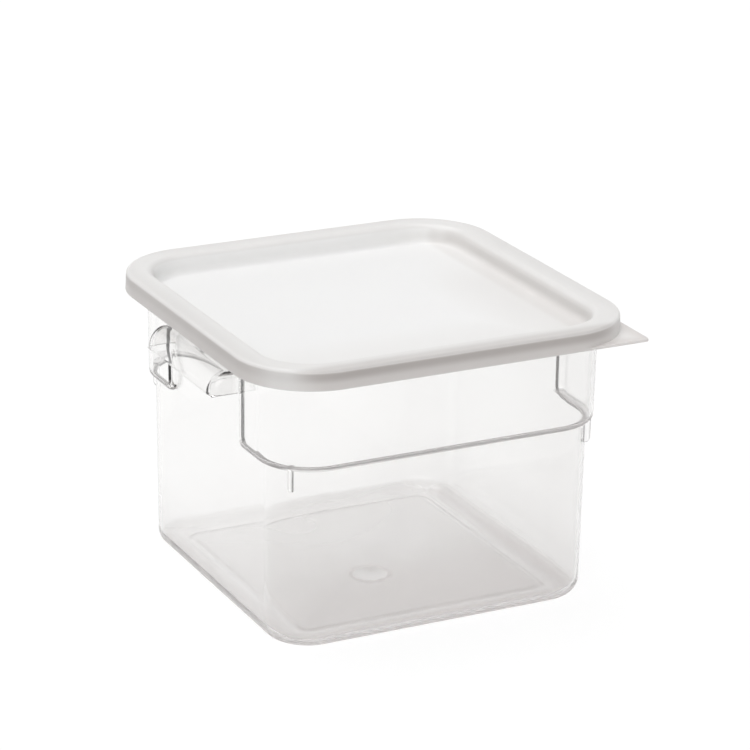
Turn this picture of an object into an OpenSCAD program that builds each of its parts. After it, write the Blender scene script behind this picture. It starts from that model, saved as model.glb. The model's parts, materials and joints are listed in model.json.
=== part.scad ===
// Clear square food pan with moulded-in side handles and a press-on lid that lifts off.
// Millimetres. X runs through the two handles, Y from front (-Y) to back, Z up, base on Z = 0.
// Both pieces are swept round one rounded square: a profile's x is the distance out
// from the four corner centres, and its y is the height.

/* [Pan] */
// Width of the base across its flat sides
base_width = 243.6; // [230:0.2:250]
// Plan corner radius of the base
base_corner = 33; // [24:0.5:42]
// Height of the pan to the top of its rim
pan_height = 207.6; // [190:0.2:225]
// Wall and floor thickness
wall = 2.8; // [2:0.1:3.6]
// Radius where wall and base meet, outside
base_fillet = 11; // [5:0.5:12]
// Lean of the wall from base to collar, each side
wall_lean = 1.2; // [0:0.1:2]
// Height that the middle of the base is raised above its foot ring
base_raise = 1.2; // [0.4:0.1:1.8]
// Width of the foot ring, from the wall's flat side to the raised middle
foot_width = 25.3; // [18:0.1:40]
// Plan rounding of the raised middle's corners
raise_corner = 10; // [4:0.5:20]
// Distance that the floor's step lies inside the step under it
raise_inset = 1; // [0.5:0.1:2]
// Radius of the round mark under the base
mark_radius = 17; // [8:0.5:24]
// Depth of the round mark
mark_depth = 0.4; // [0.2:0.1:0.8]
// Place of the round mark from the middle, along X
mark_x = -6; // [-30:1:30]
// Place of the round mark from the middle, along Y
mark_y = -19; // [-30:1:30]

/* [Collar] */
// Height of the collar, from its underside to the top of the rim
collar_height = 75.9; // [56:0.1:100]
// Distance the collar stands out from the wall
collar_step = 4.9; // [3.4:0.1:6]
// Lean of the collar from its lower edge to the rim, each side
collar_lean = 0.8; // [0:0.1:1.5]
// Rounding of the collar's lower edge
collar_round = 4.4; // [2:0.2:4.8]
// Rounding where the collar ends beside a handle
collar_end_round = 11; // [4:0.5:16]

/* [Rim] */
// Distance the rim stands out from the collar
rim_reach = 12.8; // [9:0.1:14]
// Height of the rim's turned-down lip
rim_lip = 7; // [4:0.5:9]
// Rounding of the rim's outer edge
rim_round = 2; // [0.5:0.5:2.5]
// Rounding of the mouth's inner edge
mouth_round = 4.4; // [3:0.1:5]

/* [Handles] */
// Width of each handle along the side
handle_width = 113; // [90:1:130]
// Distance of the handle's top face below the top of the rim
handle_below = 22.6; // [19:0.1:32]
// Depth of the handle's turned-down grip
handle_drop = 15.5; // [13.5:0.5:22]
// Distance the handle stands out from the wall behind it
handle_reach = 24; // [19:0.5:28]
// Thickness of the handle's hood and grip
grip_wall = 3; // [2.2:0.1:4]
// Rounding along the handle's outer top edge
handle_round = 13.5; // [6:0.5:14]
// Plan rounding of the handle's ends
handle_corner = 8; // [4:0.5:12]

/* [Nesting lugs] */
// Height of each lug below the collar
lug_drop = 14.5; // [8:1:24]
// Thickness of each lug
lug_width = 2.8; // [2:0.2:6]

/* [Lid] */
// Height of the lid's top edge above the rim's top
lid_rise = 2.4; // [2:0.1:3.4]
// Height of the lid's skirt
skirt_height = 14; // [10:0.5:18]
// Thickness of the lid
lid_wall = 2.1; // [1.6:0.1:2.6]
// Depth of the stacking recess
recess_depth = 14; // [8:0.5:18]
// Rounding of the lid's outer top edge
bead_round = 2.5; // [0.5:0.5:4]
// Rounding of the pull tab's tip
tab_tip = 3; // [1:0.5:8]
// Thickness of the pull tab
tab_wall = 2; // [1.5:0.1:3]

/* [Clearances] */
// Gap between the rim's top and the lid resting over it
seat_gap = 0.2; // [0.1:0.05:0.4]
// Gap between the lid's plug and the mouth
plug_gap = 0.4; // [0.2:0.05:1]
// Gap between the rim's outer edge and the lid's skirt
skirt_gap = 0.5; // [0.2:0.05:1]

/* [Hidden] */
$fn = 96;
core = base_width / 2 - base_corner;            // corner centres, from the middle
body_r = base_corner + wall_lean;               // wall just under the collar
collar_r = body_r + collar_step;                // outside of the collar
neck_r = collar_r + collar_lean;                // outside of the collar under the rim
mouth_r = neck_r - wall;                        // inside of the mouth
rim_r = neck_r + rim_reach;                     // outside of the rim
collar_z = pan_height - collar_height;          // underside of the collar
pocket_x = core + body_r;                       // face of the wall behind a handle
handle_x = pocket_x + handle_reach;             // outer face of a handle
handle_y = handle_width / 2;
handle_z = pan_height - handle_below;           // top face of a handle
raise_width = base_width - 2 * foot_width;      // raised middle of the base
lid_z = pan_height + lid_rise;                  // top of the whole object
lid_r = rim_r + skirt_gap + lid_wall;           // outside of the skirt
plug_r = mouth_r - plug_gap;                    // outside of the lid's plug
panel_z = lid_z - recess_depth;                 // top of the sunken panel
big = 400;

// Sweep of a profile round the rounded square, open in the middle
module sweep() {
    for (i = [0:3])
        rotate([0, 0, 90 * i])
            translate([core, core, 0]) {
                rotate_extrude(angle = 90) children();
                rotate([90, 0, 0]) linear_extrude(2 * core) children();
            }
}

// The same with the middle filled between two heights
module sweep_solid(z0, z1) {
    sweep() children();
    translate([-core, -core, z0]) cube([2 * core, 2 * core, z1 - z0]);
}

// Collar profile from the middle out to r, leaning out by collar_lean up to the rim
module collar_strip(r, z0, round) {
    polygon([[0, z0], [r - round, z0], [r - round, z0 + round], [r, z0 + round],
             [r + collar_lean, pan_height], [0, pan_height]]);
    translate([r - round, z0 + round]) circle(round);
}

module pan_outline() {
    polygon([[0, 0], [base_corner - base_fillet, 0], [base_corner - base_fillet, base_fillet],
             [base_corner, base_fillet], [body_r, collar_z + collar_round],
             [0, collar_z + collar_round]]);
    intersection() {
        translate([base_corner - base_fillet, base_fillet]) circle(base_fillet);
        square([base_corner, base_fillet]);
    }
    collar_strip(collar_r, collar_z, collar_round);
}

module cavity_outline() {
    f = base_fillet - wall + 1.5;
    r = base_corner - wall;
    polygon([[0, wall], [r - f, wall], [r - f, wall + f], [r, wall + f],
             [body_r - wall, collar_z + wall + 1], [0, collar_z + wall + 1]]);
    intersection() {
        translate([r - f, wall + f]) circle(f);
        translate([0, wall]) square([r, f]);
    }
    collar_strip(collar_r - wall, collar_z + wall, max(collar_round - wall, 0.5));
    mouth_cut();
}

// Space inside the mouth where its edge rolls outwards
module mouth_cut() {
    difference() {
        translate([0, pan_height - mouth_round])
            square([mouth_r + mouth_round, mouth_round + 1]);
        translate([mouth_r + mouth_round, pan_height - mouth_round]) circle(mouth_round);
    }
}

// Rim: a flange rolled out from the mouth and turned down at its outer edge
module rim_outline() {
    inner = mouth_round - wall;                 // fillet under the flange
    difference() {
        union() {
            translate([rim_r - rim_round, pan_height - rim_round]) circle(rim_round);
            translate([mouth_r, pan_height - rim_lip])
                square([rim_r - rim_round - mouth_r, rim_lip]);
            translate([mouth_r, pan_height - rim_lip])
                square([rim_r - mouth_r, rim_lip - rim_round]);
        }
        translate([neck_r + inner, pan_height - rim_lip - 1])
            square([rim_r - wall - neck_r - inner, rim_lip + 1 - wall]);
        translate([neck_r, pan_height - rim_lip - 1])
            square([inner + 0.1, rim_lip + 1 - wall - inner]);
        translate([neck_r + inner, pan_height - wall - inner]) circle(inner);
        mouth_cut();
    }
}

// Side view (y, z) of the finger pocket; grow makes the skin behind it
module pocket_side(grow) {
    y = handle_y + grow;
    round = collar_end_round - grow;
    z0 = collar_z - 1;
    translate([-y, z0]) square([2 * y, handle_z - (grow > 0 ? 0 : grip_wall) - z0]);
    for (s = [0, 1]) mirror([s, 0])
        difference() {
            translate([y - 0.01, z0]) square([round + 0.01, collar_z + collar_end_round - z0]);
            translate([y + round, collar_z + collar_end_round]) circle(round);
        }
}

module pocket(grow, x0) {
    translate([x0, 0, 0]) rotate([90, 0, 90]) linear_extrude(big) pocket_side(grow);
}

// Handle hood: a plan outline cut to a quarter-round section
module hood(shrink, drop) {
    x1 = handle_x - shrink;
    y1 = handle_y - shrink;
    z1 = handle_z - shrink;
    c = handle_corner - shrink;
    round = handle_round - shrink;
    intersection() {
        translate([0, 0, handle_z - handle_drop - drop]) linear_extrude(handle_drop + drop + 1)
            union() {
                translate([pocket_x - 1, -y1]) square([x1 - c - pocket_x + 1, 2 * y1]);
                translate([x1 - c - 1, c - y1]) square([c + 1, 2 * (y1 - c)]);
                for (s = [-1, 1]) translate([x1 - c, s * (y1 - c)]) circle(c);
            }
        translate([0, big / 2, 0]) rotate([90, 0, 0]) linear_extrude(big) {
            translate([pocket_x - 1, 0]) square([x1 - round - pocket_x + 1, z1]);
            square([x1, z1 - round]);
            translate([x1 - round, z1 - round]) circle(round);
        }
    }
}

module handle() {
    difference() {
        hood(0, 0);
        hood(grip_wall, 5);
        // keeps clear of the inside of the wall
        translate([0, -big / 2, 0]) cube([pocket_x - 0.5, big, big]);
    }
}

module lug() {
    x0 = base_corner - 1;
    z0 = collar_z - lug_drop;
    translate([core, core, 0]) rotate([0, 0, 45])
        translate([0, lug_width / 2, 0]) rotate([90, 0, 0]) linear_extrude(lug_width) {
            translate([x0, z0 + collar_step]) square([collar_r - x0, lug_drop + collar_round - collar_step]);
            intersection() {
                translate([collar_r - collar_step, z0 + collar_step]) circle(collar_step);
                translate([x0, z0]) square([collar_r - x0, collar_step + 0.01]);
            }
        }
}

module rounded_plate(w, round, z0, z1) {
    c = w / 2 - round;
    translate([0, 0, z0]) linear_extrude(z1 - z0) {
        square([w, 2 * c], center = true);
        square([2 * c, w], center = true);
        for (x = [-c, c], y = [-c, c]) translate([x, y]) circle(round);
    }
}

module pan() {
    color([0.93, 0.95, 0.96, 0.3])
    difference() {
        union() {
            difference() {
                sweep_solid(0, pan_height) pan_outline();
                difference() {
                    sweep_solid(wall, pan_height + 1) cavity_outline();
                    for (s = [0, 1]) mirror([s, 0, 0])
                        pocket(wall, pocket_x - wall);
                    rounded_plate(raise_width - 2 * raise_inset, raise_corner - raise_inset,
                                  0, wall + base_raise);
                }
                for (s = [0, 1]) mirror([s, 0, 0]) pocket(0, pocket_x);
            }
            sweep() rim_outline();
            for (s = [0, 1]) mirror([s, 0, 0]) handle();
            for (i = [0:3]) rotate([0, 0, 90 * i]) lug();
        }
        // underside: raised middle, and a plain round sink mark in it
        rounded_plate(raise_width, raise_corner, -1, base_raise);
        translate([mark_x, mark_y, 0]) cylinder(h = base_raise + mark_depth, r = mark_radius);
    }
}

module lid_outline() {
    f = mouth_round - plug_gap;                 // fillet under the rim, follows the mouth
    in_r = plug_r - lid_wall;                   // inside of the recess
    difference() {
        union() {
            translate([in_r, panel_z - lid_wall]) square([lid_r - bead_round - in_r, big]);
            translate([in_r, panel_z - lid_wall]) square([lid_r - in_r, lid_z - bead_round - panel_z + lid_wall]);
            translate([lid_r - bead_round, lid_z - bead_round]) circle(bead_round);
        }
        translate([0, lid_z]) square(big);
        // outside the plug, under the rim
        difference() {
            translate([plug_r, 0]) square([lid_r - lid_wall - plug_r, pan_height + seat_gap]);
            translate([plug_r, pan_height + seat_gap - f]) square(f);
        }
        translate([plug_r + f, pan_height + seat_gap - f]) circle(f);
        translate([lid_r - lid_wall - 1, 0]) square([big, lid_z - skirt_height]);
        // rounding over into the recess
        difference() {
            translate([0, lid_z - f - lid_wall]) square([in_r + f + lid_wall, f + lid_wall + 1]);
            translate([in_r + f + lid_wall, lid_z - f - lid_wall]) circle(f + lid_wall);
        }
    }
}

module tab() {
    translate([core, -core, lid_z - skirt_height])
        linear_extrude(tab_wall)
            difference() {
                union() {
                    translate([0, -lid_r + tab_tip]) square([lid_r, lid_r - tab_tip]);
                    translate([0, -lid_r]) square([lid_r - tab_tip, lid_r]);
                    translate([lid_r - tab_tip, -lid_r + tab_tip]) circle(tab_tip);
                }
                circle(lid_r - lid_wall / 2);
            }
}

module lid() {
    color([0.95, 0.95, 0.94, 0.85]) {
        sweep_solid(panel_z - lid_wall, panel_z) {
            lid_outline();
            translate([0, panel_z - lid_wall]) square([plug_r - lid_wall + 0.1, lid_wall]);
        }
        tab();
    }
}

pan();
lid();
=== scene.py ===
"""Clear square food pan with a press-on lid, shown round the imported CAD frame.

Lengths in the size classes are millimetres. Meshes are built in metres, in the frame's own
place: X runs through the two handles, Y from front (-Y) to back, Z up, base on Z = 0.
"""

import json
import logging
import math
from dataclasses import dataclass, field
from enum import Enum
from functools import reduce
from typing import Any, Callable, Optional, Union

import bmesh
import bpy
from mathutils import Matrix, Vector

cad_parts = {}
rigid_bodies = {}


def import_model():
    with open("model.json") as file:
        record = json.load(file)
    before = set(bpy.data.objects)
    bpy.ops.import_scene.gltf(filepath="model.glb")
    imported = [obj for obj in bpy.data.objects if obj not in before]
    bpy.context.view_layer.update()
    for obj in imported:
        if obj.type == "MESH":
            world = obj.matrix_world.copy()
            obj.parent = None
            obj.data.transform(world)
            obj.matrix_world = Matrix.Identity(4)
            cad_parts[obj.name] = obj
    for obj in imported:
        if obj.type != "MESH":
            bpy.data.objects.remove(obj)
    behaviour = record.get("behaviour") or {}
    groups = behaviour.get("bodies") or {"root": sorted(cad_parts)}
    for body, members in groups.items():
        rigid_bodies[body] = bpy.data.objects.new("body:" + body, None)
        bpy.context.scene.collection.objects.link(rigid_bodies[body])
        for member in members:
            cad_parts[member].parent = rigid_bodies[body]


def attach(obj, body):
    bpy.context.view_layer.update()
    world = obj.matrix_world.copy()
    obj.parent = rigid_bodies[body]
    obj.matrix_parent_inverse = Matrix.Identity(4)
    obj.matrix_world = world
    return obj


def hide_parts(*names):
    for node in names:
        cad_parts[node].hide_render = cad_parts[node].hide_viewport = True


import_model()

MM = 0.001
log = logging.getLogger("food_pan")
Point2 = tuple[float, float]
Point3 = tuple[float, float, float]
Four = tuple[float, float, float, float]
Colour = Four
Ring = list[Point3]
Body = bpy.types.Object
Finish = bpy.types.Material


class Joining(Enum):
    """Ways in which one closed body is combined with another."""

    ADD = "UNION"
    CUT = "DIFFERENCE"


class Seen(Enum):
    """Kinds of ray for which a surface is shown in another way, by Light Path output."""

    CAMERA = "Is Camera Ray"
    MIRRORED = "Is Glossy Ray"
    THROUGH = "Is Transmission Ray"
    LAMP = "Is Shadow Ray"


# ---- node trees and finishes


class Value:
    """One output socket of a node tree, with the arithmetic that the trees use."""

    def __init__(self, graph: "Graph", socket: bpy.types.NodeSocket) -> None:
        """Wrap a socket.

        Args:
            graph: The graph that the socket's node is in.
            socket: An output socket.
        """
        self.graph = graph
        self.socket = socket

    def of(self, name: str) -> "Value":
        """Return another output of the same node by its name."""
        return Value(self.graph, self.socket.node.outputs[name])

    def _math(self, operation: str, a: Any, b: Any) -> "Value":
        """Add one Math node and return its value."""
        return self.graph.add("ShaderNodeMath", {"operation": operation}, {0: a, 1: b})

    def __add__(self, other: Any) -> "Value":
        """Return this value plus another."""
        return self._math("ADD", self, other)

    __radd__ = __add__

    def __mul__(self, other: Any) -> "Value":
        """Return this value times another."""
        return self._math("MULTIPLY", self, other)

    __rmul__ = __mul__

    def __rsub__(self, other: Any) -> "Value":
        """Return another value less this one."""
        return self._math("SUBTRACT", other, self)

    def __or__(self, other: Any) -> "Value":
        """Return the larger of this value and another."""
        return self._math("MAXIMUM", self, other)

    def size(self) -> "Value":
        """Return this value without its sign."""
        return self | (self * -1.0)


class Graph:
    """A node tree that is being filled."""

    def __init__(self, tree: bpy.types.NodeTree) -> None:
        """Start from an emptied tree.

        Args:
            tree: The tree of a material, a world or a modifier.
        """
        self.tree = tree
        tree.nodes.clear()

    def add(
        self,
        kind: str,
        settings: Optional[dict[str, Any]] = None,
        inputs: Optional[dict[Union[str, int], Any]] = None,
        output: Union[str, int] = 0,
    ) -> Value:
        """Add a node of any kind.

        Args:
            kind: The node's type name.
            settings: Its own settings, set first.
            inputs: Values or links for its sockets, by name or number.
            output: The output that is returned.

        Returns:
            The chosen output.
        """
        node = self.tree.nodes.new(kind)
        for name, setting in (settings or {}).items():
            setattr(node, name, setting)
        for key, given in (inputs or {}).items():
            if isinstance(given, Value):
                self.tree.links.new(given.socket, node.inputs[key])
            else:
                node.inputs[key].default_value = given
        return Value(self, node.outputs[output])

    def mix_colour(self, share: Any, first: Any, second: Any) -> Value:
        """Return first blended towards second by share."""
        return self.add(
            "ShaderNodeMix", {"data_type": "RGBA"}, {0: share, 6: first, 7: second}, output=2
        )

    def mix_shader(self, share: Any, first: Value, second: Value) -> Value:
        """Return one shader blended towards a second by share."""
        return self.add("ShaderNodeMixShader", None, {0: share, 1: first, 2: second})

    def noise(self, place: Value, scale: float, detail: float) -> Value:
        """Return a cloudy value round 0.5, with about scale patches to a metre."""
        return self.add(
            "ShaderNodeTexNoise", None, {"Vector": place, "Scale": scale, "Detail": detail}
        )

    def bump(self, height: Value, strength: float, depth: float) -> Value:
        """Return the surface's direction with a relief of the given strength and depth."""
        return self.add(
            "ShaderNodeBump", None, {"Strength": strength, "Distance": depth, "Height": height}
        )

    def seen(self, *kinds: Seen) -> Value:
        """Return 1 for the given kinds of ray and 0 for the rest."""
        path = self.add("ShaderNodeLightPath", output=kinds[0].value)
        return reduce(Value.__or__, (path.of(kind.value) for kind in kinds[1:]), path)

    def close(self, kind: str, ends: dict[Union[str, int], Value]) -> None:
        """Add the tree's output node and link its sockets."""
        node = self.tree.nodes.new(kind)
        for key, value in ends.items():
            self.tree.links.new(value.socket, node.inputs[key])


def new_material(name: str) -> tuple[Finish, Graph]:
    """Return a new material and its empty graph."""
    material = bpy.data.materials.new(name)
    material.use_nodes = True
    return material, Graph(material.node_tree)


def grey(level: float) -> Colour:
    """Return a neutral colour of one level."""
    return (level, level, level, 1.0)


class Spot:
    """The shaded point's place on the object: metres from the middle, and up from the base."""

    def __init__(self, graph: Graph) -> None:
        """Add the nodes that give the place.

        Args:
            graph: The graph that they are added to.
        """
        self.place = graph.add("ShaderNodeTexCoord", output="Object")
        self.z = graph.add("ShaderNodeSeparateXYZ", None, {0: self.place}, output="Z")
        self.x = self.z.of("X")
        self.y = self.z.of("Y")
        self.side = self.x.size()
        self.across = self.y.size()
        self.outward = self.side | self.across


@dataclass(frozen=True)
class Ramp:
    """A smooth change of value along one measure: where it starts and ends, and its values."""

    low: float
    high: float
    start: float = 0.0
    end: float = 1.0

    def at(self, measure: Value) -> Value:
        """Return the value for a measure."""
        sockets = {"From Min": self.low, "From Max": self.high}
        sockets |= {"To Min": self.start, "To Max": self.end, "Value": measure}
        return measure.graph.add(
            "ShaderNodeMapRange", {"interpolation_type": "SMOOTHSTEP"}, sockets
        )


@dataclass(frozen=True)
class HazeAndPaintedShade:
    """Where a haze clouds the pan, and how dense it is, in metres. Much of its layout is painted
    shade: thicker towards the front of the base, low on the walls, on the right-hand wall and
    round the foot's edge; it also clouds the collar's step and the handles, and outlines the sink
    mark under the base.
    """

    # painted shade: the base, wall and foot ramps lay more haze towards the front, low down, on
    # the right and round the foot
    base_up: Ramp = Ramp(0.0045, 0.0075, 0.28, 0.0)
    base_out: Ramp = Ramp(0.090, 0.096, 1.0, 0.7)
    base_front_shade: Ramp = Ramp(-0.12, 0.09, 1.75, 0.62)
    base_right: Ramp = Ramp(0.080, 0.110, 1.0, 0.55)
    mark_place: Point3 = (-0.009, -0.025, 0.002)
    mark_out: Ramp = Ramp(0.0105, 0.0130, 0.60, 1.0)
    ring_in: Ramp = Ramp(0.0120, 0.0135)
    ring_out: Ramp = Ramp(0.0145, 0.0165, 1.0, 0.0)
    ring_more: float = 0.45
    wall_up: Ramp = Ramp(0.0, 0.062, 0.07, 0.0)
    wall_right_shade: Ramp = Ramp(0.02, 0.12, 0.0, 0.06)
    foot_up: Ramp = Ramp(0.0, 0.012, 0.31, 0.0)
    foot_back: Ramp = Ramp(0.095, 0.110, 1.0, 0.3)
    foot_out: Ramp = Ramp(0.098, 0.112, 0.15, 1.0)
    foot_left: Ramp = Ramp(-0.125, -0.100, 1.45, 1.0)
    step_from: Ramp = Ramp(0.1336, 0.1342)
    step_to: Ramp = Ramp(0.1356, 0.1366, 0.5, 0.0)
    pocket_out: Ramp = Ramp(0.1170, 0.1190)
    pocket_wide: Ramp = Ramp(0.0540, 0.0600, 1.0, 0.0)
    grip_out: Ramp = Ramp(0.1290, 0.1320, 0.0, 0.02)
    ends_out: Ramp = Ramp(0.1285, 0.1310)
    ends_from: Ramp = Ramp(0.0470, 0.0530)
    ends_to: Ramp = Ramp(0.0566, 0.0570, 1.0, 0.0)
    ends_up: Ramp = Ramp(0.183, 0.186, 0.07, 0.0)
    cloud: Ramp = Ramp(0.0, 1.0, 0.75, 1.25)
    patches: float = 7.0

    def share(self, graph: Graph, spot: Spot) -> Value:
        """Return how much of the plastic the haze clouds, 0 to 1, painted shade included.

        Args:
            graph: The graph that the nodes are added to.
            spot: The shaded point.

        Returns:
            The clouded share.
        """
        # painted shade: more haze towards the front of the base, low on the walls, on the
        # right-hand wall and round the foot's edge makes these parts read darker; the rest is haze
        # on the collar step and the handles, with the sink mark outlined
        base = self.base_up.at(spot.z) * self.base_out.at(spot.outward)
        base = base * self.base_front_shade.at(spot.y) * self.base_right.at(spot.x)
        from_mark = graph.add(
            "ShaderNodeVectorMath",
            {"operation": "DISTANCE"},
            {0: spot.place, 1: self.mark_place},
            "Value",
        )
        ring = self.ring_in.at(from_mark) * self.ring_out.at(from_mark)
        base = base * self.mark_out.at(from_mark) * (ring * self.ring_more + 1.0)
        wall = self.wall_up.at(spot.z) + self.wall_right_shade.at(spot.x)
        foot = self.foot_up.at(spot.z) * self.foot_back.at(spot.y)
        foot = foot * self.foot_out.at(spot.outward) * self.foot_left.at(spot.x)
        pocket = self.pocket_out.at(spot.side) * self.pocket_wide.at(spot.across)
        step = self.step_from.at(spot.z) * self.step_to.at(spot.z) * (1.0 - pocket)
        ends = self.ends_out.at(spot.side) * self.ends_from.at(spot.across)
        ends = ends * self.ends_to.at(spot.across)
        grip = self.grip_out.at(spot.side) + ends * self.ends_up.at(spot.z)
        cloud = self.cloud.at(graph.noise(spot.place, self.patches, 1.0))
        return (base + wall + foot + step + grip) * cloud


@dataclass(frozen=True)
class ClearPlastic:
    """Clear moulded plastic: faint grey in its thickness, with light handling marks in its gloss
    and a haze laid out partly as painted shade.
    """

    tint: Colour = (0.987, 0.985, 0.981, 1.0)
    ior: float = 1.55
    polish: float = 0.015
    scuffed: float = 0.035
    wear: Ramp = Ramp(0.35, 0.75)
    wear_patches: float = 14.0
    flow_up: Ramp = Ramp(0.010, 0.040)
    flow_patches: float = 9.0
    flow_stretch: Point3 = (1.0, 1.0, 0.25)
    flow_strength: float = 0.01
    flow_depth: float = 0.0006
    depth_colour: Colour = (0.50, 0.47, 0.44, 1.0)
    depth: float = 6.0
    lets_lamps: float = 0.94
    haze: Colour = (0.80, 0.775, 0.77, 1.0)
    haze_passing: float = 0.5
    # haze map; much of its layout is painted shade
    haze_and_shade: HazeAndPaintedShade = HazeAndPaintedShade()

    def build(self, name: str) -> Finish:
        """Return the finish as a material."""
        material, graph = new_material(name)
        spot = Spot(graph)
        stretched = graph.add(
            "ShaderNodeMapping", None, {"Vector": spot.place, "Scale": self.flow_stretch}
        )
        wear = self.wear.at(graph.noise(spot.place, self.wear_patches, 1.0))
        flow = graph.noise(stretched, self.flow_patches, 0.0) * self.flow_up.at(spot.z)
        plastic = graph.add(
            "ShaderNodeBsdfPrincipled",
            None,
            {
                "Base Color": self.tint,
                "Transmission Weight": 1.0,
                "IOR": self.ior,
                "Roughness": wear * (self.scuffed - self.polish) + self.polish,
                "Normal": graph.bump(flow, self.flow_strength, self.flow_depth),
            },
        )
        facing = graph.add("ShaderNodeBsdfDiffuse", None, {"Color": self.haze})
        passing = graph.add("ShaderNodeBsdfTranslucent", None, {"Color": self.haze})
        haze = graph.mix_shader(self.haze_passing, facing, passing)
        # the haze, with its painted shade, is mixed over the clear plastic
        hazed = graph.mix_shader(self.haze_and_shade.share(graph, spot), plastic, haze)
        bare = graph.add("ShaderNodeBsdfTransparent", None, {"Color": grey(self.lets_lamps)})
        inside = graph.add(
            "ShaderNodeVolumeAbsorption", None, {"Color": self.depth_colour, "Density": self.depth}
        )
        shown = graph.mix_shader(graph.seen(Seen.LAMP), hazed, bare)
        graph.close("ShaderNodeOutputMaterial", {"Surface": shown, "Volume": inside})
        return material


@dataclass(frozen=True)
class LidToneAndShade:
    """Where the lid's random cloudiness and its painted shade change, in metres, and how strong
    each one is.
    """

    cloud: Ramp = Ramp(0.35, 0.75)
    cloud_share: float = 0.25
    # painted shade: round the panel, the bead, skirt and recess walls are greyed
    panel_up: Ramp = Ramp(0.1965, 0.2010)
    panel_out: Ramp = Ramp(0.1190, 0.1250)
    # painted shade where the skirt lies over the pan's rim
    rim_out: Ramp = Ramp(0.1255, 0.1275)
    rim_down: Ramp = Ramp(0.2070, 0.2098, 1.0, 0.0)
    rim_soft: Ramp = Ramp(0.1300, 0.1435, 0.25, 1.0)
    # painted shade in the skirt's upper band and along the bead's outer top edge, strongest at the
    # front
    fold_from: Ramp = Ramp(0.2000, 0.2055)
    fold_to: Ramp = Ramp(0.2080, 0.2094, 1.0, 0.0)
    fold_back: Ramp = Ramp(-0.142, -0.110, 0.62, 0.25)
    brow_out: Ramp = Ramp(0.1290, 0.1390)
    brow_up: Ramp = Ramp(0.2078, 0.2092)
    brow_back: Ramp = Ramp(-0.142, -0.110, 0.42, 0.10)
    # painted shade: the panel greys towards its right and its front, as light falls off across it
    away_right: Ramp = Ramp(0.03, 0.11)
    away_back: Ramp = Ramp(0.0, 0.09, 1.0, 0.3)
    away_front: Ramp = Ramp(0.02, 0.10, 0.0, 0.7)
    # painted light and shade on the recess walls: the back wall kept paler, the right wall
    # darkened
    inside_up: Ramp = Ramp(0.2065, 0.2085, 1.0, 0.0)
    inside_out: Ramp = Ramp(0.126, 0.130, 1.0, 0.0)
    last: Ramp = Ramp(0.105, 0.112)
    back_wall_painted_light: float = -0.8
    right_wall_painted_shade: float = 0.35


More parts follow.
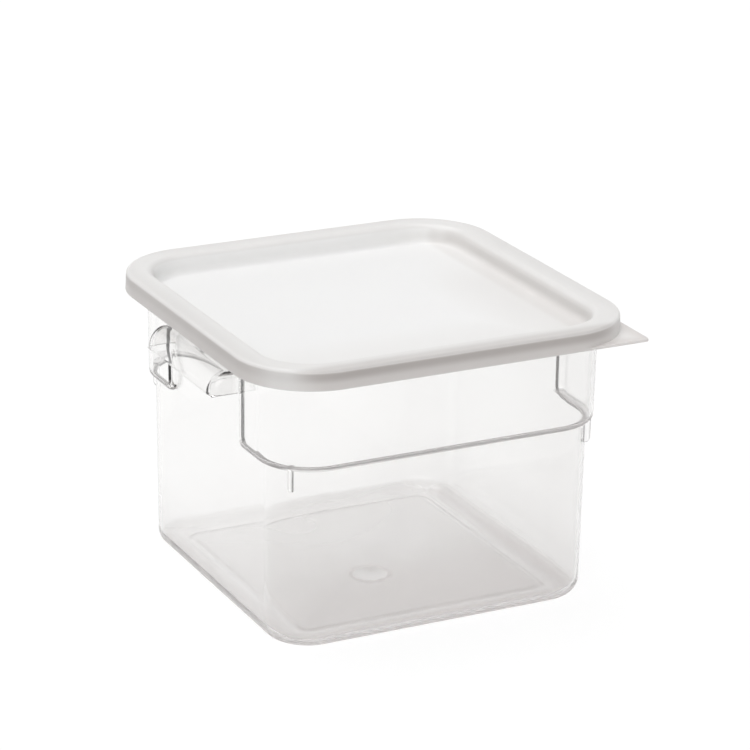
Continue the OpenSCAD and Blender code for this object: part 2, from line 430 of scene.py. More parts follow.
@dataclass(frozen=True)
class MilkyPlastic:
    """Soft milky lid plastic: pale, slightly see-through, with a fine matt grain and painted shade
    round its panel and in its skirt.
    """

    pale: Colour = (0.975, 0.97, 0.958, 1.0)
    warm: Colour = (0.965, 0.945, 0.93, 1.0)
    # rim: painted shade colour for the lid round its panel and for the falloff across the panel
    rim: Colour = (0.835, 0.82, 0.805, 1.0)
    # skirt: painted shade colour, for the skirt over the pan's rim and the recess's right wall
    skirt: Colour = (0.68, 0.65, 0.635, 1.0)
    # fold: painted shade colour for the skirt's upper band and the bead's front edge
    fold: Colour = (0.40, 0.37, 0.355, 1.0)
    smooth: float = 0.34
    dull: float = 0.50
    ior: float = 1.48
    patches: float = 12.0
    grains: float = 900.0
    grain_strength: float = 0.12
    grain_depth: float = 0.0002
    glow: float = 0.8
    glow_depth: float = 0.005
    lets_lamps: float = 0.72
    tone_and_shade: LidToneAndShade = LidToneAndShade()

    def _colour(self, graph: Graph, spot: Spot, cloud: Value) -> Value:
        """Return the colour: pale in the panel, with painted shade round it, across it, in the
        skirt and the skirt's upper band, and painted light on the recess's back wall.

        Args:
            graph: The graph that the nodes are added to.
            spot: The shaded point.
            cloud: The plastic's cloudiness, 0 to 1.

        Returns:
            The colour.
        """
        tone = self.tone_and_shade
        # painted shade: the bead, skirt and recess walls round the panel are greyed towards the
        # rim colour, for the lesser light on their sloping and upright faces
        edge = tone.panel_up.at(spot.z) | tone.panel_out.at(spot.outward)
        # painted shade: the skirt darkens where the pan's rim and the shaded gap lie behind it
        skirt_painted_shade = tone.rim_out.at(spot.outward) * tone.rim_down.at(spot.z)
        skirt_painted_shade = skirt_painted_shade * tone.rim_soft.at(spot.outward)
        # painted shade: a darker band high on the skirt over the rim, and along the bead's outer
        # top edge, both strongest at the front
        fold = tone.fold_from.at(spot.z) * tone.fold_to.at(spot.z) * skirt_painted_shade
        brow = tone.brow_out.at(spot.outward) * tone.brow_up.at(spot.z)
        brow = brow * tone.brow_back.at(spot.y)
        # painted shade: light falling off across the panel, greyer towards the right and the front
        away = tone.away_right.at(spot.x) * tone.away_back.at(spot.y)
        away = away | tone.away_front.at(spot.y * -1.0)
        # painted light: the recess's back wall is kept paler, as if lit through from behind;
        # painted shade: its right wall is darkened towards the skirt colour
        inside = tone.inside_up.at(spot.z) * tone.inside_out.at(spot.outward)
        painted_back_light = tone.last.at(spot.y) * inside * tone.back_wall_painted_light + 1.0
        darker = tone.last.at(spot.x) * inside * tone.right_wall_painted_shade
        colour = graph.mix_colour(cloud * tone.cloud_share, self.pale, self.warm)
        colour = graph.mix_colour(away, colour, self.rim)
        colour = graph.mix_colour(edge * painted_back_light, colour, self.rim)
        colour = graph.mix_colour(darker, colour, self.skirt)
        colour = graph.mix_colour(skirt_painted_shade, colour, self.skirt)
        return graph.mix_colour(fold * tone.fold_back.at(spot.y) | brow, colour, self.fold)

    def build(self, name: str) -> Finish:
        """Return the finish as a material."""
        material, graph = new_material(name)
        spot = Spot(graph)
        cloud = self.tone_and_shade.cloud.at(graph.noise(spot.place, self.patches, 3.0))
        grain = graph.noise(spot.place, self.grains, 2.0)
        plastic = graph.add(
            "ShaderNodeBsdfPrincipled",
            None,
            {
                "Base Color": self._colour(graph, spot, cloud),
                "Roughness": cloud * (self.dull - self.smooth) + self.smooth,
                "IOR": self.ior,
                "Subsurface Weight": self.glow,
                "Subsurface Radius": (1.0, 1.0, 1.0),
                "Subsurface Scale": self.glow_depth,
                "Normal": graph.bump(grain, self.grain_strength, self.grain_depth),
            },
        )
        bare = graph.add("ShaderNodeBsdfTransparent", None, {"Color": grey(self.lets_lamps)})
        shown = graph.mix_shader(graph.seen(Seen.LAMP), plastic, bare)
        graph.close("ShaderNodeOutputMaterial", {"Surface": shown})
        return material


@dataclass(frozen=True)
class StudioFloor:
    """Pale floor that reads white to the eye and keeps a faint shadow."""

    pale: float = 0.8
    share: float = 0.22
    glow: float = 0.82

    def build(self, name: str) -> Finish:
        """Return the finish as a material."""
        material, graph = new_material(name)
        shown = graph.seen(Seen.CAMERA, Seen.MIRRORED, Seen.THROUGH)
        lit = graph.add("ShaderNodeBsdfDiffuse", None, {"Color": grey(self.pale)})
        faint = graph.add("ShaderNodeBsdfDiffuse", None, {"Color": grey(self.share)})
        base = graph.mix_shader(shown, lit, faint)
        light = graph.add(
            "ShaderNodeEmission", None, {"Color": grey(1.0), "Strength": shown * self.glow}
        )
        both = graph.add("ShaderNodeAddShader", None, {0: base, 1: light})
        graph.close("ShaderNodeOutputMaterial", {"Surface": both})
        return material


@dataclass(frozen=True)
class StudioWorld:
    """Soft surroundings: white behind the object, darker overhead in what it mirrors."""

    ambient: float = 0.35
    shade: Ramp = Ramp(0.25, 0.70, 1.0, 0.48)

    def build(self, name: str) -> bpy.types.World:
        """Return the surroundings as a world."""
        world = bpy.data.worlds.new(name)
        world.use_nodes = True
        graph = Graph(world.node_tree)
        way = graph.add("ShaderNodeTexCoord", output="Generated")
        height = graph.add("ShaderNodeSeparateXYZ", None, {0: way}, output="Z")
        level = self.shade.at(height)
        plain = graph.add("ShaderNodeBackground", None, {0: grey(1.0), 1: self.ambient})
        shaped = graph.add("ShaderNodeBackground", None, {0: grey(1.0), 1: level})
        shown = graph.seen(Seen.CAMERA, Seen.MIRRORED, Seen.THROUGH)
        around = graph.mix_shader(shown, plain, shaped)
        graph.close("ShaderNodeOutputWorld", {"Surface": around})
        return world


# ---- outlines and bodies


def angles(start: float, end: float, steps: int) -> list[float]:
    """Return angles in radians at equal steps between two angles in degrees."""
    return [math.radians(start + (end - start) * step / steps) for step in range(steps + 1)]


class Outline:
    """A run of points in a plane, drawn with straight lines and arcs, in millimetres."""

    def __init__(self, *start: float) -> None:
        """Start the outline at a point, if one is given."""
        self.points: list[Point2] = [(start[0], start[1])] if start else []

    def to(self, x: float, y: float) -> None:
        """Go straight to a point."""
        self.points.append((x, y))

    def arc(
        self, x: float, y: float, radius: float, start: float, end: float, steps: int
    ) -> "Outline":
        """Add an arc and return the outline.

        Args:
            x: Across, to the centre of the arc.
            y: Up, to the centre of the arc.
            radius: Its radius.
            start: First angle in degrees.
            end: Last angle in degrees.
            steps: Number of straight pieces.

        Returns:
            The outline itself.
        """
        for a in angles(start, end, steps):
            point = (x + radius * math.cos(a), y + radius * math.sin(a))
            if not self.points or math.dist(point, self.points[-1]) > 1e-4:
                self.points.append(point)
        return self


class ShapeTree(Graph):
    """A Geometry Nodes tree with named inputs, whose result is real and of one material."""

    def __init__(self, name: str, sizes: dict[str, str]) -> None:
        """Start the tree.

        Args:
            name: The tree's name.
            sizes: Socket type of each input besides the geometry and the finish, by name.
        """
        super().__init__(bpy.data.node_groups.new(name, "GeometryNodeTree"))
        face = self.tree.interface
        face.new_socket("Geometry", in_out="OUTPUT", socket_type="NodeSocketGeometry")
        kinds = {"Geometry": "NodeSocketGeometry", **sizes, "Finish": "NodeSocketMaterial"}
        self.ids: dict[str, str] = {
            given: face.new_socket(given, in_out="INPUT", socket_type=kind).identifier
            for given, kind in kinds.items()
        }
        self.given = self.add("NodeGroupInput")

    def end(self, shaped: Value) -> None:
        """Make the result real, give it its finish and link it to the output."""
        real = self.add("GeometryNodeRealizeInstances", None, {0: shaped})
        dressed = {"Geometry": real, "Material": self.given.of("Finish")}
        self.close("NodeGroupOutput", {0: self.add("GeometryNodeSetMaterial", None, dressed)})

    def apply(self, body: Body, values: dict[str, Any]) -> None:
        """Run the tree on a body with the given inputs and keep what it makes."""
        modifier = body.modifiers.new(self.tree.name, "NODES")
        modifier.node_group = self.tree
        for name, value in values.items():
            modifier[self.ids[name]] = value
        settle(body)


class SweepTree(ShapeTree):
    """Tree that sweeps a profile round a square with rounded corners.

    The object's own mesh is the profile: its x is the distance out from the corner
    centres and its y the height.
    """

    def __init__(self) -> None:
        """Build the tree once."""
        length, steps = "NodeSocketFloat", "NodeSocketInt"
        super().__init__(
            "sweep round a rounded square",
            {"Core width": length, "Path corner": length, "Corner steps": steps},
        )
        corner, count = self.given.of("Path corner"), self.given.of("Corner steps")
        width = corner * 2.0 + self.given.of("Core width")
        sides = {"Width": width, "Height": width}
        square = self.add("GeometryNodeCurvePrimitiveQuadrilateral", None, sides)
        bends = {"Curve": square, "Radius": corner, "Count": count}
        path = self.add("GeometryNodeFilletCurve", {"mode": "POLY"}, bends)
        profile = self.add("GeometryNodeMeshToCurve", None, {0: self.given.of("Geometry")})
        run = {"Curve": path, "Profile Curve": profile}
        self.end(self.add("GeometryNodeCurveToMesh", None, run))

    def sweep(
        self, name: str, outline: Outline, core: float, finish: Finish, steps: int = 32
    ) -> Body:
        """Sweep an outline and close its two open ends with flat faces.

        Args:
            name: Name of the body.
            outline: The profile, in millimetres.
            core: Distance from the middle to the corner centres, in millimetres.
            finish: The body's material.
            steps: Straight pieces in each corner.

        Returns:
            The closed body, with its place in its mesh.
        """
        path_corner = max(x for x, _ in outline.points)
        mesh = bpy.data.meshes.new(name)
        points = [((x - path_corner) * MM, -y * MM, 0.0) for x, y in outline.points]
        mesh.from_pydata(points, [(i, i + 1) for i in range(len(points) - 1)], [])
        body = new_object(name, mesh)
        sizes = {"Core width": 2.0 * core * MM, "Path corner": path_corner * MM}
        self.apply(body, {**sizes, "Corner steps": steps, "Finish": finish})
        reshape(body, self._close)
        return body

    @staticmethod
    def _close(mesh: bmesh.types.BMesh) -> None:
        """Fill both open ends and turn every face outwards."""
        bmesh.ops.remove_doubles(mesh, verts=mesh.verts, dist=1e-7)
        bmesh.ops.holes_fill(mesh, edges=mesh.edges, sides=0)
        bmesh.ops.recalc_face_normals(mesh, faces=mesh.faces)


class RingTree(ShapeTree):
    """Tree that repeats a body at equal turns round the Z axis."""

    def __init__(self) -> None:
        """Build the tree once."""
        super().__init__(
            "repeat round the middle", {"Count": "NodeSocketInt", "Turn": "NodeSocketFloat"}
        )
        still = {"Offset": (0.0, 0.0, 0.0), "Count": self.given.of("Count")}
        points = self.add("GeometryNodeMeshLine", None, still)
        turn = self.add("GeometryNodeInputIndex") * self.given.of("Turn")
        axes = self.add("ShaderNodeCombineXYZ", None, {"Z": turn})
        body = self.given.of("Geometry")
        copies = {"Points": points, "Instance": body, "Rotation": axes}
        self.end(self.add("GeometryNodeInstanceOnPoints", None, copies))

    def repeat(self, body: Body, count: int, finish: Finish) -> None:
        """Turn a body into count copies of itself round the middle.

        Args:
            body: The body to repeat.
            count: How many there are.
            finish: Their material.
        """
        self.apply(body, {"Count": count, "Turn": math.tau / count, "Finish": finish})


def new_object(name: str, data: Any) -> Body:
    """Return a new object in the scene that shows the given mesh, camera or light."""
    thing = bpy.data.objects.new(name, data)
    bpy.context.scene.collection.objects.link(thing)
    return thing


def settle(body: Body) -> None:
    """Replace a body's mesh with what its modifiers make of it, and drop them."""
    bpy.context.view_layer.update()
    shaped = body.evaluated_get(bpy.context.evaluated_depsgraph_get())
    mesh = bpy.data.meshes.new_from_object(shaped)
    body.modifiers.clear()
    old = body.data
    body.data = mesh
    mesh.name = body.name
    bpy.data.meshes.remove(old)


def reshape(body: Body, work: Callable[[bmesh.types.BMesh], None]) -> None:
    """Edit a body's mesh.

    Args:
        body: The body.
        work: What is done to its mesh.
    """
    mesh = bmesh.new()
    mesh.from_mesh(body.data)
    work(mesh)
    mesh.to_mesh(body.data)
    mesh.free()
    body.data.update()


def combine(body: Body, tool: Body, how: Joining) -> None:
    """Add a closed body to another, or cut it away, and use it up.

    Args:
        body: The body that is kept.
        tool: The body that is added or cut away.
        how: Which of the two.
    """
    modifier = body.modifiers.new("combine", "BOOLEAN")
    modifier.operation = how.value
    modifier.solver = "MANIFOLD"
    modifier.object = tool
    settle(body)
    bpy.data.objects.remove(tool)


def loft(
    name: str, rings: list[Ring], finish: Finish
) -> Body:
    """Join rings of points, all of one length, into a body closed by its first and last ring.

    Args:
        name: Name of the body.
        rings: Its rings, in millimetres.
        finish: Its material.

    Returns:
        The body.
    """
    count = len(rings[0])
    points = [tuple(part * MM for part in point) for ring in rings for point in ring]
    faces: list[tuple[int, ...]] = [tuple(range(count))]
    for row in range(len(rings) - 1):
        for i in range(count):
            j = (i + 1) % count
            a, b = row * count, (row + 1) * count
            faces.append((a + i, a + j, b + j, b + i))
    faces.append(tuple((len(rings) - 1) * count + i for i in reversed(range(count))))
    mesh = bpy.data.meshes.new(name)
    mesh.from_pydata(points, [], faces)
    mesh.materials.append(finish)
    body = new_object(name, mesh)
    reshape(body, lambda m: bmesh.ops.recalc_face_normals(m, faces=m.faces))
    return body


def mirrored(rings: list[Ring], side: int) -> list[Ring]:
    """Return rings with x on the given side, 1 or -1."""
    return [[(side * x, y, z) for x, y, z in ring] for ring in rings]


def smooth(body: Body, sharp: float = 38.0) -> None:
    """Shade a finished body smooth, with flat faces kept flat and edges over an angle sharp.

    Args:
        body: The body.
        sharp: Angle in degrees past which an edge stays sharp.
    """
    reshape(body, lambda m: bmesh.ops.remove_doubles(m, verts=m.verts, dist=2e-6))
    body.data.shade_smooth()
    body.data.set_sharp_from_angle(angle=math.radians(sharp))
    modifier = body.modifiers.new("weigh", "WEIGHTED_NORMAL")
    modifier.keep_sharp = True
    modifier.weight = 100
    settle(body)


def eased(share: float) -> float:
    """Return a share from 0 to 1 with a soft start and end."""
    return (1 - math.cos(math.pi * share)) / 2


def rounded_square(width: float, corner: float, z: float, steps: int = 12) -> Ring:
    """Return a ring in the shape of a square with rounded corners.

    Args:
        width: Half its width.
        corner: Radius of its corners.
        z: Its height.
        steps: Straight pieces in each corner.

    Returns:
        The ring's points.
    """
    middle = width - corner
    ring: Ring = []
    for start, cx, cy in ((0, 1, 1), (90, -1, 1), (180, -1, -1), (270, 1, -1)):
        for a in angles(start, start + 90, steps):
            x, y = cx * middle + corner * math.cos(a), cy * middle + corner * math.sin(a)
            ring.append((x, y, z))
    return ring


# ---- the pan


@dataclass
class PanSizes:
    """Sizes of the pan, as in the part's source, and of its softened edges."""

    core: float = 88.8
    base_corner: float = 33.0
    height: float = 207.6
    wall: float = 2.8
    base_fillet: float = 11.0
    bowl_more: float = 1.5
    wall_lean: float = 1.2
    lean_short: float = 0.04
    base_raise: float = 1.2
    raise_half: float = 96.5
    raise_corner: float = 10.0
    raise_slope: float = 6.5
    raise_inset: float = 1.0
    mark_radius: float = 17.0
    mark_depth: float = 0.7
    mark_place: Point2 = (-9.0, -25.0)
    collar_z: float = 131.7
    collar_step: float = 4.9
    collar_lean: float = 0.8
    collar_round: float = 4.4
    collar_end_round: float = 8.5
    fold_round: float = 0.45
    shelf_round: float = 1.2
    rim_reach: float = 12.8
    rim_lip: float = 7.0
    rim_round: float = 2.0
    mouth_round: float = 4.4
    edge: float = 0.6
    flat_edge: float = 2.0
    overlap: float = 0.08
    through: float = 2.0
    slope_steps: int = 10
    mark_steps: int = 64

    @property
    def body_r(self) -> float:
        """Radius of the wall's corners just under the collar."""
        return self.base_corner + self.wall_lean

    @property
    def collar_r(self) -> float:
        """Radius of the collar's corners at its lower edge."""
        return self.body_r + self.collar_step

    @property
    def neck_r(self) -> float:
        """Radius of the collar's corners under the rim."""
        return self.collar_r + self.collar_lean

    @property
    def pocket_x(self) -> float:
        """Face of the wall behind a handle, from the middle."""
        return self.core + self.body_r


@dataclass
class HandleSizes:
    """Sizes of one handle and of the finger pocket under it."""

    half_width: float = 56.5
    below: float = 22.6
    drop: float = 15.5
    reach: float = 24.0
    thickness: float = 3.0
    top_round: float = 13.5
    end_round: float = 8.0
    end_top_round: float = 3.6
    least_round: float = 0.8
    lip_round: float = 0.9
    hollow_round: float = 0.2
    root: float = 1.6
    hollow_root: float = 0.5
    hollow_below: float = 5.0
    end_crowding: float = 1.3
    top_steps: int = 16
    lip_steps: int = 4
    end_steps: int = 14
    pocket_turn: float = 80.0
    pocket_tail: float = 4.0
    pocket_under: float = 3.0
    pocket_over: float = 0.6
    pocket_steps: int = 12
    pocket_flare: tuple[Point2, ...] = ((0.7, 3.9), (12.0, 3.9))
    skin_edge: float = 2.4
    skin_foot: float = 1.2
    skin_steps: int = 6
    skin_flare: tuple[Point2, ...] = ((0.5, 2.4), (1.1, 2.4))


@dataclass
class LugSizes:
    """Sizes of the nesting lugs at the corners, under the collar."""

    drop: float = 15.2
    thickness: float = 2.8
    count: int = 4
    edge: float = 0.5
    under: float = 0.6
    tip: float = 3.6
    root: float = 1.0
    rows: int = 5


@dataclass
class Pan:
    """The clear pan: box, collar, rim, two handles and four nesting lugs in one moulding."""

    finish: Finish
    sweeper: SweepTree
    ringer: RingTree
    size: PanSizes = field(default_factory=PanSizes)
    handle: HandleSizes = field(default_factory=HandleSizes)
    lug: LugSizes = field(default_factory=LugSizes)

    def shell(self) -> Body:
        """Return the box with its collar, rolled rim and lip, as one swept wall."""
        s = self.size
        top, e = s.height, s.edge
        under = s.mouth_round - s.wall
        foot = s.base_corner - s.base_fillet
        fold = s.fold_round
        path = Outline(foot - s.flat_edge, 0.0)
        path.arc(foot, s.base_fillet, s.base_fillet, -90, 0, 16)
        path.to(s.body_r - s.lean_short, s.collar_z - fold)
        path.arc(s.body_r + fold, s.collar_z - fold, fold, 180, 90, 3)
        turn = s.collar_r - s.collar_round
        path.arc(turn, s.collar_z + s.collar_round, s.collar_round, -90, 0, 12)
        path.to(s.neck_r, top - s.wall - under)
        path.arc(s.neck_r + under, top - s.wall - under, under, 180, 90, 6)
        rim = s.neck_r + s.rim_reach
        lip_in = rim - s.wall
        path.arc(lip_in - e, top - s.wall - e, e, 90, 0, 4)
        path.arc(lip_in + e, top - s.rim_lip + e, e, 180, 270, 4)
        path.arc(rim - e, top - s.rim_lip + e, e, 270, 360, 4)
        path.arc(rim - s.rim_round, top - s.rim_round, s.rim_round, 0, 90, 8)
        mouth = s.neck_r - s.wall
        path.arc(mouth + s.mouth_round, top - s.mouth_round, s.mouth_round, 90, 180, 12)
        step_in = s.collar_r - s.wall
        turn_in = s.collar_round - s.wall
        shelf = s.collar_z + s.wall
        path.to(step_in, shelf + turn_in)
        path.arc(step_in - turn_in, shelf + turn_in, turn_in, 0, -90, 6)
        drop = s.shelf_round
        path.arc(s.body_r - s.wall + drop, shelf - drop, drop, 90, 180, 6)
        bowl = s.base_fillet - s.wall + s.bowl_more
        floor_r = s.base_corner - s.wall
        path.arc(floor_r - bowl, s.wall + bowl, bowl, 0, -90, 16)
        path.to(floor_r - bowl - s.flat_edge, s.wall)
        return self.sweeper.sweep("pan_shell", path, s.core, self.finish)

    def _pocket_ring(self, x: float, grow: float, lean: float, top: float) -> Ring:
        """Return one outline of a finger pocket.

        Args:
            x: Its distance from the middle.
            grow: How far it is grown outwards from the pocket's own outline.
            lean: How much of the collar's lean it follows, 0 to 1.
            top: Height of its top edge.

        Returns:
            The ring's points.
        """
        s, h = self.size, self.handle
        centre_y = h.half_width + s.collar_end_round
        centre_z = s.collar_z + s.collar_end_round
        radius = s.collar_end_round - grow
        bend = math.radians(h.pocket_turn)
        foot_y = centre_y - radius * math.cos(bend) + h.pocket_tail * math.sin(bend)
        foot_z = centre_z - radius * math.sin(bend) - h.pocket_tail * math.cos(bend)
        half: list[Point2] = [(foot_y, s.collar_z - h.pocket_under), (foot_y, foot_z)]
        for a in angles(h.pocket_turn, 0.0, h.pocket_steps):
            half.append((centre_y - radius * math.cos(a), centre_z - radius * math.sin(a)))
        half.append((half[-1][0], top))
        ring = half + [(-y, z) for y, z in reversed(half)]
        slope = s.collar_lean / (s.height - s.collar_z - s.collar_round)
        start = s.collar_z + s.collar_round
        return [(x + lean * slope * max(z - start, 0.0), y, z) for y, z in ring]

    def _mouth(self, radius: float, steps: int) -> Ring:
        """Return a pocket's rounded mouth in rows: how far out, how far grown, and the lean."""
        return [
            (radius * math.sin(a), radius * (1 - math.cos(a)), math.sin(a))
            for a in angles(0.0, self.handle.pocket_turn, steps)
        ]

    def pocket(self, side: int) -> Body:
        """Return the space of a finger pocket, with its mouth rounded over at the collar."""
        s, h = self.size, self.handle
        top = s.height - h.below - h.pocket_over * h.thickness
        rings = [self._pocket_ring(s.pocket_x, 0.0, 0.0, top)]
        start = s.pocket_x + s.collar_step - s.collar_round
        for out, grow, lean in self._mouth(s.collar_round, h.pocket_steps):
            rings.append(self._pocket_ring(start + out, grow, lean, top))
        for further, wider in h.pocket_flare:
            rings.append(self._pocket_ring(start + out + further, grow + wider, 1.0, top))
        return loft("pocket", mirrored(rings, side), self.finish)

    def skin(self, side: int) -> Body:
        """Return the wall behind a finger pocket, where it stands into the collar."""
        s, h = self.size, self.handle
        top = s.height - h.below - h.thickness
        low = s.collar_z + h.skin_foot
        inner, edge = s.pocket_x - s.wall, h.skin_edge
        rings: list[Ring] = []

        def ring(x: float, grow: float, lean: float) -> None:
            """Add one outline, grown on every side but its foot."""
            points = self._pocket_ring(x, grow, lean, top + grow)
            rings.append([(px, py, max(pz, low)) for px, py, pz in points])

        for a in angles(0.0, 90.0, h.skin_steps):
            ring(inner + edge * (1 - math.cos(a)), s.wall - edge * (1 - math.sin(a)), 0.0)
        start = s.pocket_x + s.collar_step - s.collar_round
        for out, more, lean in self._mouth(s.collar_round - s.wall, h.skin_steps):
            grow = s.wall + more
            ring(start + out, grow, lean)
        for further, wider in h.skin_flare:
            ring(start + out + further, grow + wider, 1.0)
        return loft("skin", mirrored(rings, side), self.finish)

    def _hood(self, name: str, side: int, shrink: float, drop: float) -> Body:
        """Return a handle's hood as a solid body.

        Args:
            name: Name of the body.
            side: 1 or -1, the side of the pan.
            shrink: How far it lies inside the hood's outer face.
            drop: How far it goes on below the hood's lower edge.

        Returns:
            The body.
        """
        s, h = self.size, self.handle
        x1 = s.pocket_x + h.reach - shrink
        z1 = s.height - h.below - shrink
        foot = s.height - h.below - h.drop - drop
        bend = h.top_round - shrink
        plan = h.end_round - shrink
        over = max(h.end_top_round - shrink / 2, h.least_round)
        near = s.pocket_x - (h.hollow_root if shrink else h.root)
        lip = h.hollow_round if shrink else h.lip_round
        section: list[Four] = [(near, z1, 0.0, 1.0)]
        for a in angles(90.0, 0.0, h.top_steps):
            nx, nz = math.cos(a), math.sin(a)
            section.append((x1 - bend + bend * nx, z1 - bend + bend * nz, nx, nz))
        for a in angles(0.0, -90.0, h.lip_steps):
            nx, nz = math.cos(a), math.sin(a)
            section.append((x1 - lip + lip * nx, foot + lip + lip * nz, nx, 0.0))
        section.append((near, foot, 0.0, 0.0))
        half = h.half_width - shrink
        ends: Ring = []
        for step in range(h.end_steps + 1):
            a = math.pi / 2 * (step / h.end_steps) ** h.end_crowding
            off = plan * (1 - math.cos(a))
            inset = plan * (1 - math.sin(a))
            left = max(over - off, 0.0)
            drop_top = over - math.sqrt(max(over * over - left * left, 0.0))
            ends.append((half - off, inset, drop_top))
        rows = ends + [(-y, inset, low) for y, inset, low in reversed(ends)]
        rings = [
            [(x - inset * nx, y, z - low * nz) for x, z, nx, nz in section]
            for y, inset, low in rows
        ]
        return loft(name, mirrored(rings, side), self.finish)

    def grip(self, side: int) -> Body:
        """Return one handle: a hood hollowed out from below."""
        h = self.handle
        hood = self._hood("hood", side, 0.0, 0.0)
        combine(hood, self._hood("hollow", side, h.thickness, h.hollow_below), Joining.CUT)
        return hood

    def lugs(self) -> Body:
        """Return the nesting lugs, one fin repeated at each corner under the collar."""
        s, g = self.size, self.lug
        low = s.collar_z - g.drop
        out = s.collar_r - g.under
        path = Outline(s.base_corner - g.root, low)
        path.arc(out - g.tip, low + g.tip, g.tip, -90, 0, 8)
        path.to(out, s.collar_z + s.collar_round - g.root)
        path.to(s.base_corner - g.root, s.collar_z + s.collar_round - g.root)
        rings: list[Ring] = []
        for step in [*range(-g.rows, 0), *range(1, g.rows + 1)]:
            a = math.pi / 2 * step / g.rows
            inset = g.edge * (1 - math.cos(a))
            y = math.copysign(g.thickness / 2 - g.edge, step) + g.edge * math.sin(a)
            rings.append([(x - inset * (x > s.body_r), y, z) for x, z in path.points])
        fin = loft("lugs", rings, self.finish)
        turn = Matrix.Rotation(math.radians(45), 4, "Z")
        fin.data.transform(Matrix.Translation((s.core * MM, s.core * MM, 0.0)) @ turn)
        self.ringer.repeat(fin, g.count, self.finish)
        return fin

    def _soft_step(self, name: str, half: float, low: float, high: float, flip: bool) -> Body:
        """Return a low plateau with a soft sloping edge.

        Args:
            name: Name of the body.
            half: Half its width at the middle of the slope.
            low: Height at which the slope starts.
            high: Height of the flat top.
            flip: True where it is cut from below and goes on downwards.

        Returns:
            The body.
        """
        s = self.size
        rings: list[Ring] = []

        def ring(grow: float, z: float) -> None:
            """Add one outline, grown on every side."""
            rings.append(rounded_square(half + grow, s.raise_corner + grow, z))

        if flip:
            ring(s.raise_slope, low - s.through)
        for step in range(s.slope_steps + 1):
            t = step / s.slope_steps
            grow = s.raise_slope * (0.5 - t)
            z = low + (high - low) * eased(t)
            ring(grow, z)
        ring(grow - s.flat_edge, z)
        return loft(name, rings, self.finish)

    def _dish(self) -> Body:
        """Return the round sink mark under the base, as a shallow lens to cut away."""
        s = self.size
        x0, y0 = s.mark_place
        low = s.base_raise - s.overlap
        levels = [(s.mark_radius, -s.through / 2)]
        for step in range(s.slope_steps):
            t = step / (s.slope_steps - 0.5)
            z = low + (s.mark_depth + s.overlap) * eased(t)
            levels.append((s.mark_radius * (1 - t), z))
        rings = [
            [
                (x0 + radius * math.cos(a), y0 + radius * math.sin(a), z)
                for a in angles(0.0, 360.0, s.mark_steps)[:-1]
            ]
            for radius, z in levels
        ]
        return loft("dish", rings, self.finish)

    def build(self) -> Body:
        """Return the whole pan as one closed moulding."""
        s = self.size
        pan = self.shell()
        steps = ((self.skin, Joining.ADD), (self.pocket, Joining.CUT), (self.grip, Joining.ADD))
        for make, how in steps:
            for side in (-1, 1):
                combine(pan, make(side), how)
        combine(pan, self.lugs(), Joining.ADD)
        inner, top = s.raise_half - s.raise_inset, s.wall + s.base_raise
        floor = self._soft_step("plateau", inner, s.wall - s.overlap, top, False)
        combine(pan, floor, Joining.ADD)
        hollow = self._soft_step("hollow", s.raise_half, -s.overlap, s.base_raise, True)
        combine(pan, hollow, Joining.CUT)
        combine(pan, self._dish(), Joining.CUT)
        smooth(pan)
        pan.name = "pan_moulding"
        return pan


# ---- the lid


@dataclass
class LidSizes:
    """Sizes of the lid, as in the part's source, and of its softened edges."""

    core: float = 88.8
    outside: float = 55.3
    plug: float = 36.7
    top: float = 210.0
    skirt: float = 14.0
    wall: float = 2.1
    seat: float = 207.8
    recess: float = 14.0
    bead: float = 2.5
    skirt_lean: float = 0.5
    recess_fillet: float = 5.0
    plug_fillet: float = 2.5
    roll: float = 4.0
    edge: float = 0.5
    tab_thickness: float = 2.0
    tab_tip: float = 3.0
    tab_bite: float = 0.3
    tab_free: float = 0.8
    tab_steps: int = 12


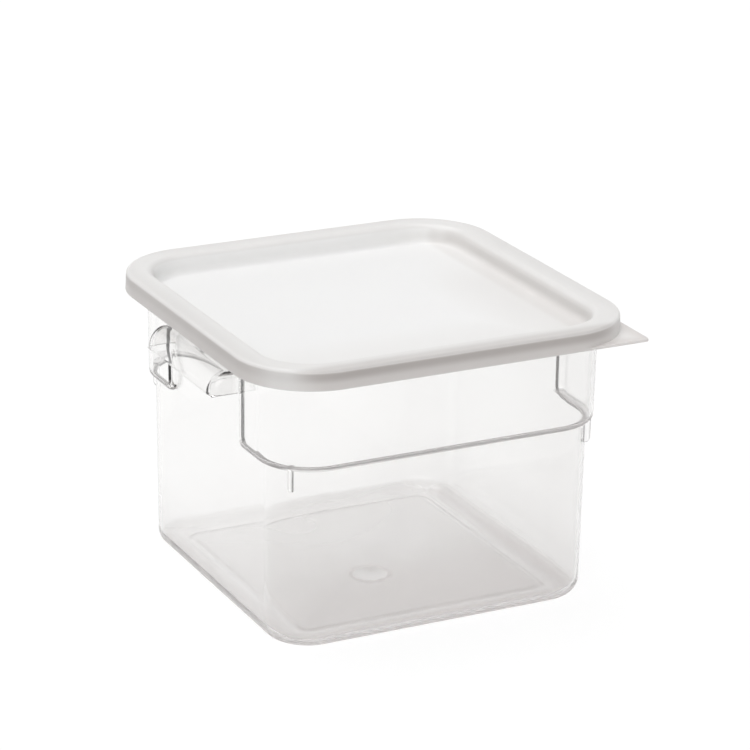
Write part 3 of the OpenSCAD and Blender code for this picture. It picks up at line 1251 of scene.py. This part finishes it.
@dataclass
class Lid:
    """The press-on lid: bead, skirt, plug and sunken stacking panel, with a pull tab."""

    finish: Finish
    sweeper: SweepTree
    size: LidSizes = field(default_factory=LidSizes)

    def plate(self) -> Body:
        """Return the lid without its tab, as one swept wall closed by its panel."""
        s = self.size
        panel = s.top - s.recess
        low = s.top - s.skirt
        inside = s.plug - s.wall
        roll = s.roll + s.wall
        path = Outline(inside - s.recess_fillet, panel)
        path.arc(inside - s.recess_fillet, panel + s.recess_fillet, s.recess_fillet, -90, 0, 10)
        path.arc(inside + roll, s.top - roll, roll, 180, 90, 14)
        brow = s.outside - s.skirt_lean
        path.arc(brow - s.bead, s.top - s.bead, s.bead, 90, 3, 10)
        path.arc(s.outside - s.edge, low + s.edge, s.edge, 0, -90, 4)
        skirt_in = s.outside - s.wall
        path.arc(skirt_in + s.edge, low + s.edge, s.edge, 270, 180, 4)
        path.arc(skirt_in - s.edge, s.seat - s.edge, s.edge, 0, 90, 4)
        path.arc(s.plug + s.roll, s.seat - s.roll, s.roll, 90, 180, 12)
        under = panel - s.wall
        path.arc(s.plug - s.plug_fillet, under + s.plug_fillet, s.plug_fillet, 0, -90, 8)
        return self.sweeper.sweep("lid_plate", path, s.core, self.finish)

    def tab(self) -> Body:
        """Return the pull tab: a thin square corner that fills out the skirt's round one."""
        s = self.size
        reach = s.outside - s.wall / 2
        far, tip = s.outside, s.tab_tip
        outline: list[Point2] = []
        for a in angles(0.0, 90.0, s.tab_steps):
            outline.append((reach * math.cos(a), -reach * math.sin(a)))
        outline.append((0.0, -far))
        outline += Outline().arc(far - tip, tip - far, tip, -90, 0, 8).points
        outline.append((far, 0.0))
        low = s.top - s.skirt
        top = low + s.tab_thickness
        soft, bite = s.edge, s.tab_bite * s.edge
        free = reach * s.tab_free
        levels = [(low, soft), (low + bite, bite), (low + soft, 0.0)]
        levels += [(top - soft, 0.0), (top - bite, bite), (top, soft)]
        rings: list[Ring] = []
        for z, inset in levels:
            ring: Ring = []
            for x, y in outline:
                in_x = inset if x > free and y < 0 else 0.0
                in_y = inset if -y > free else 0.0
                ring.append((s.core + (x - in_x), -s.core + (y + in_y), z))
            rings.append(ring)
        return loft("tab", rings, self.finish)

    def build(self) -> Body:
        """Return the whole lid as one closed moulding."""
        lid = self.plate()
        combine(lid, self.tab(), Joining.ADD)
        smooth(lid)
        lid.name = "lid_moulding"
        return lid


# ---- studio


@dataclass(frozen=True)
class Lamp:
    """One soft lamp, by the way it comes from."""

    name: str
    way: Point3
    strength: float
    spread: float

    def build(self) -> None:
        """Put the lamp in the scene."""
        light = bpy.data.lights.new(self.name, "SUN")
        light.energy = self.strength
        light.angle = math.radians(self.spread)
        lamp = new_object(self.name, light)
        lamp.rotation_mode = "QUATERNION"
        lamp.rotation_quaternion = Vector(self.way).normalized().to_track_quat("Z", "Y")


@dataclass
class Studio:
    """Camera, floor, surroundings and lamps."""

    azimuth: float = -26.94
    elevation: float = 19.83
    roll: float = 0.93
    distance: float = 2.3482
    target: Point3 = (0.05555, 0.09791, 0.105)
    lens: float = 150.46
    sensor: float = 36.0
    floor_half: float = 6.0
    floor_z: float = -0.0005
    lamps: tuple[Lamp, ...] = (
        Lamp("key", (-0.12, 0.30, 1.0), 1.62, 50.0),
        Lamp("fill", (-0.45, -0.85, 0.40), 1.00, 60.0),
    )

    def camera(self) -> None:
        """Stand the camera where it looks from, and make it the scene's own."""
        az, el, roll = (math.radians(a) for a in (self.azimuth, self.elevation, self.roll))
        back = Vector((math.sin(az) * math.cos(el), -math.cos(az) * math.cos(el), math.sin(el)))
        level = Vector((0.0, 0.0, 1.0)).cross(back).normalized()
        upright = back.cross(level)
        right = math.cos(roll) * level + math.sin(roll) * upright
        up = math.cos(roll) * upright - math.sin(roll) * level
        place = Vector(self.target) + back * self.distance
        camera = bpy.data.cameras.new("camera")
        camera.lens = self.lens
        camera.sensor_width = self.sensor
        stand = new_object("camera", camera)
        stand.matrix_world = Matrix(
            tuple((right[i], up[i], back[i], place[i]) for i in range(3)) + ((0.0, 0.0, 0.0, 1.0),)
        )
        bpy.context.scene.camera = stand

    def floor(self) -> None:
        """Lay the floor under the object."""
        half, z = self.floor_half, self.floor_z
        mesh = bpy.data.meshes.new("floor")
        corners = [(-half, -half, z), (half, -half, z), (half, half, z), (-half, half, z)]
        mesh.from_pydata(corners, [], [(0, 1, 2, 3)])
        mesh.materials.append(StudioFloor().build("floor_pale"))
        sheet = new_object("floor", mesh)

    def build(self) -> None:
        """Put the whole studio in the scene."""
        scene = bpy.context.scene
        scene.view_settings.view_transform = "Standard"
        self.camera()
        self.floor()
        scene.world = StudioWorld().build("studio")
        for lamp in self.lamps:
            lamp.build()


def report(piece: Body) -> None:
    """Log a finished piece's name, size and number of faces."""
    size = " x ".join(f"{part / MM:.1f}" for part in piece.dimensions)
    log.info("%s: %s mm, %d faces", piece.name, size, len(piece.data.polygons))


def main() -> None:
    """Build the pan, the lid and the studio, and bind each piece to its body."""
    logging.basicConfig(level=logging.INFO, format="%(name)s: %(message)s")
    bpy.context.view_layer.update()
    Studio().build()
    sweeper, ringer = SweepTree(), RingTree()
    pan = Pan(ClearPlastic().build("clear_plastic"), sweeper, ringer).build()
    lid = Lid(MilkyPlastic().build("milky_plastic"), sweeper).build()
    for piece, node in ((pan, "pan"), (lid, "lid")):
        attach(piece, node)
        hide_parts(node)
        report(piece)


if __name__ == "__main__":
    main()
